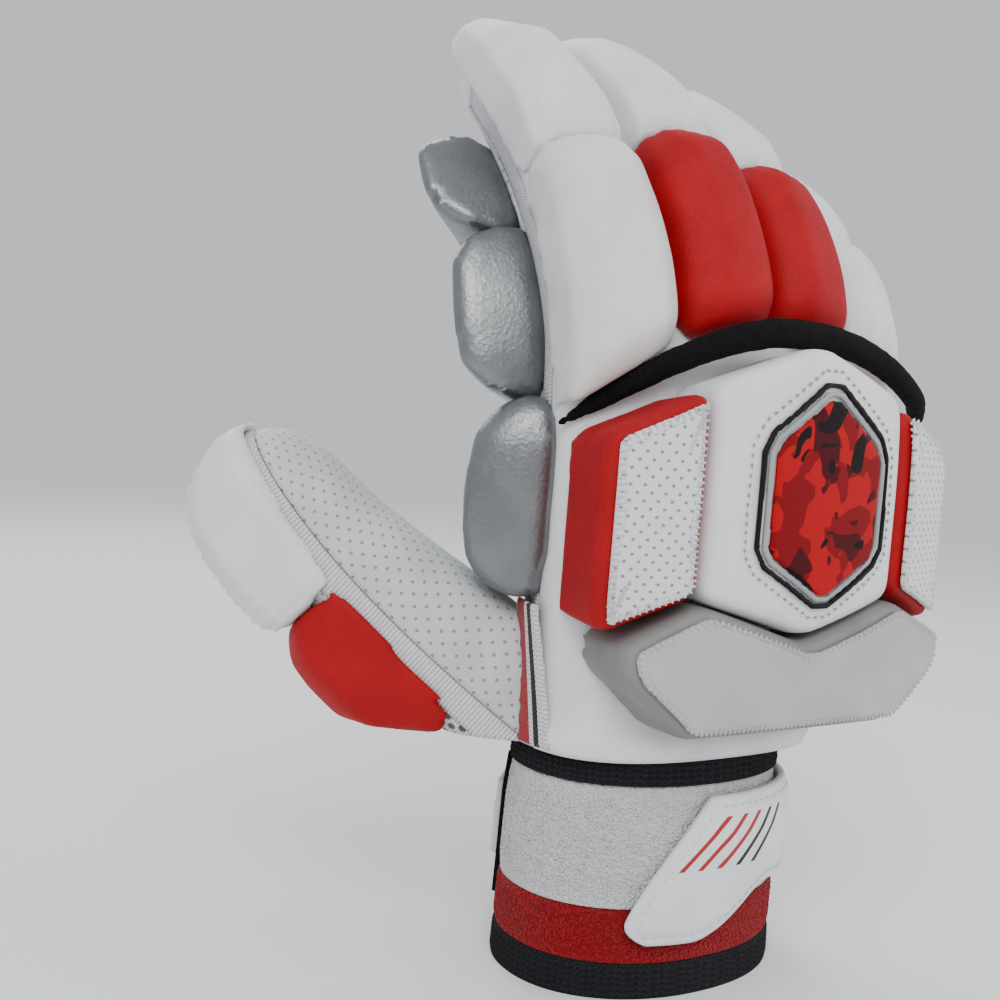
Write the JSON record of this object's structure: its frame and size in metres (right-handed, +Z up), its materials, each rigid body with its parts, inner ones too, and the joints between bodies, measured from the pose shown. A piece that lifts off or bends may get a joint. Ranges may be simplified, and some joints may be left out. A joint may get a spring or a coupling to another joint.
{
  "type": "sport glove",
  "caption": "Padded right-hand cricket batting glove with finger rolls, side bars, back-of-hand pads, a wrist guard and a towelling cuff with a closing strap.",
  "frame": {"origin": "middle of the glove's bounding box at the flat rim of the cuff, which is the floor", "axes": "+Z up from the cuff toward the fingers, back of the hand toward -Y, thumb and index side toward -X"},
  "size_m": [0.2134, 0.1294, 0.2658],
  "materials": {
    "white_leather": "smooth grained, semi-matt",
    "perforated_white": "perforated, matt",
    "cream_leather": "smooth grained, semi-matt",
    "red_leather": "smooth grained, semi-matt",
    "badge_print": "printed in a plain camouflage pattern, satin",
    "silver_leather": "pebbled metallic",
    "palm_hide": "soft perforated hide, matt",
    "guard_hide": "fine grained, matt",
    "guard_side": "fine grained, matt",
    "white_knit": "knitted strip",
    "red_knit": "knitted, striped",
    "striped_tape": "knitted tape, striped",
    "mesh_knit": "open air mesh",
    "white_towelling": "looped towelling",
    "red_towelling": "looped towelling",
    "black_knit": "ribbed knit",
    "black_pile": "looped pile",
    "black_rubber": "moulded, satin",
    "grey_rubber": "moulded, satin"
  },
  "bodies": {
    "root": {"back_panel": "white_leather", "finger_back_index": "white_leather", "finger_back_middle": "white_leather", "finger_back_ring": "white_leather", "finger_back_little": "white_leather", "tip_roll_index": "white_leather", "tip_roll_middle": "white_leather", "tip_roll_ring": "white_leather", "tip_roll_little": "white_leather", "knuckle_roll_little": "white_leather", "centre_pad": "white_leather", "thumb_tip_roll": "white_leather", "strap": "white_leather", "strap_tab": "white_leather", "index_pad_face": "perforated_white", "little_pad_face": "perforated_white", "knuckle_roll_index": "cream_leather", "knuckle_roll_middle": "red_leather", "knuckle_roll_ring": "red_leather", "index_pad": "red_leather", "little_pad": "red_leather", "thumb_base_roll": "red_leather", "badge_field": "badge_print", "tab_badge": "badge_print", "side_bar_top": "silver_leather", "side_bar_middle": "silver_leather", "side_bar_bottom": "silver_leather", "palm_leather": "palm_hide", "finger_leather_index": "palm_hide", "finger_leather_middle": "palm_hide", "finger_leather_ring": "palm_hide", "finger_leather_little": "palm_hide", "thumb_pad_leather": "palm_hide", "thumb_tip_leather": "palm_hide", "wrist_guard_face": "guard_hide", "wrist_guard": "guard_side", "index_side_strip": "white_knit", "little_side_strip": "white_knit", "thumb_side_strip": "white_knit", "fourchette_index_middle": "red_knit", "fourchette_middle_ring": "red_knit", "fourchette_ring_little": "red_knit", "side_tape": "striped_tape", "thumb_mesh": "mesh_knit", "cuff_towelling": "white_towelling", "cuff_red_band": "red_towelling", "cuff_edge_binding": "black_knit", "cuff_top_binding": "black_knit", "knuckle_band": "black_knit", "loop_patch": "black_pile", "badge_ring": "black_rubber", "badge_liner": "grey_rubber"}
  },
  "joints": []
}
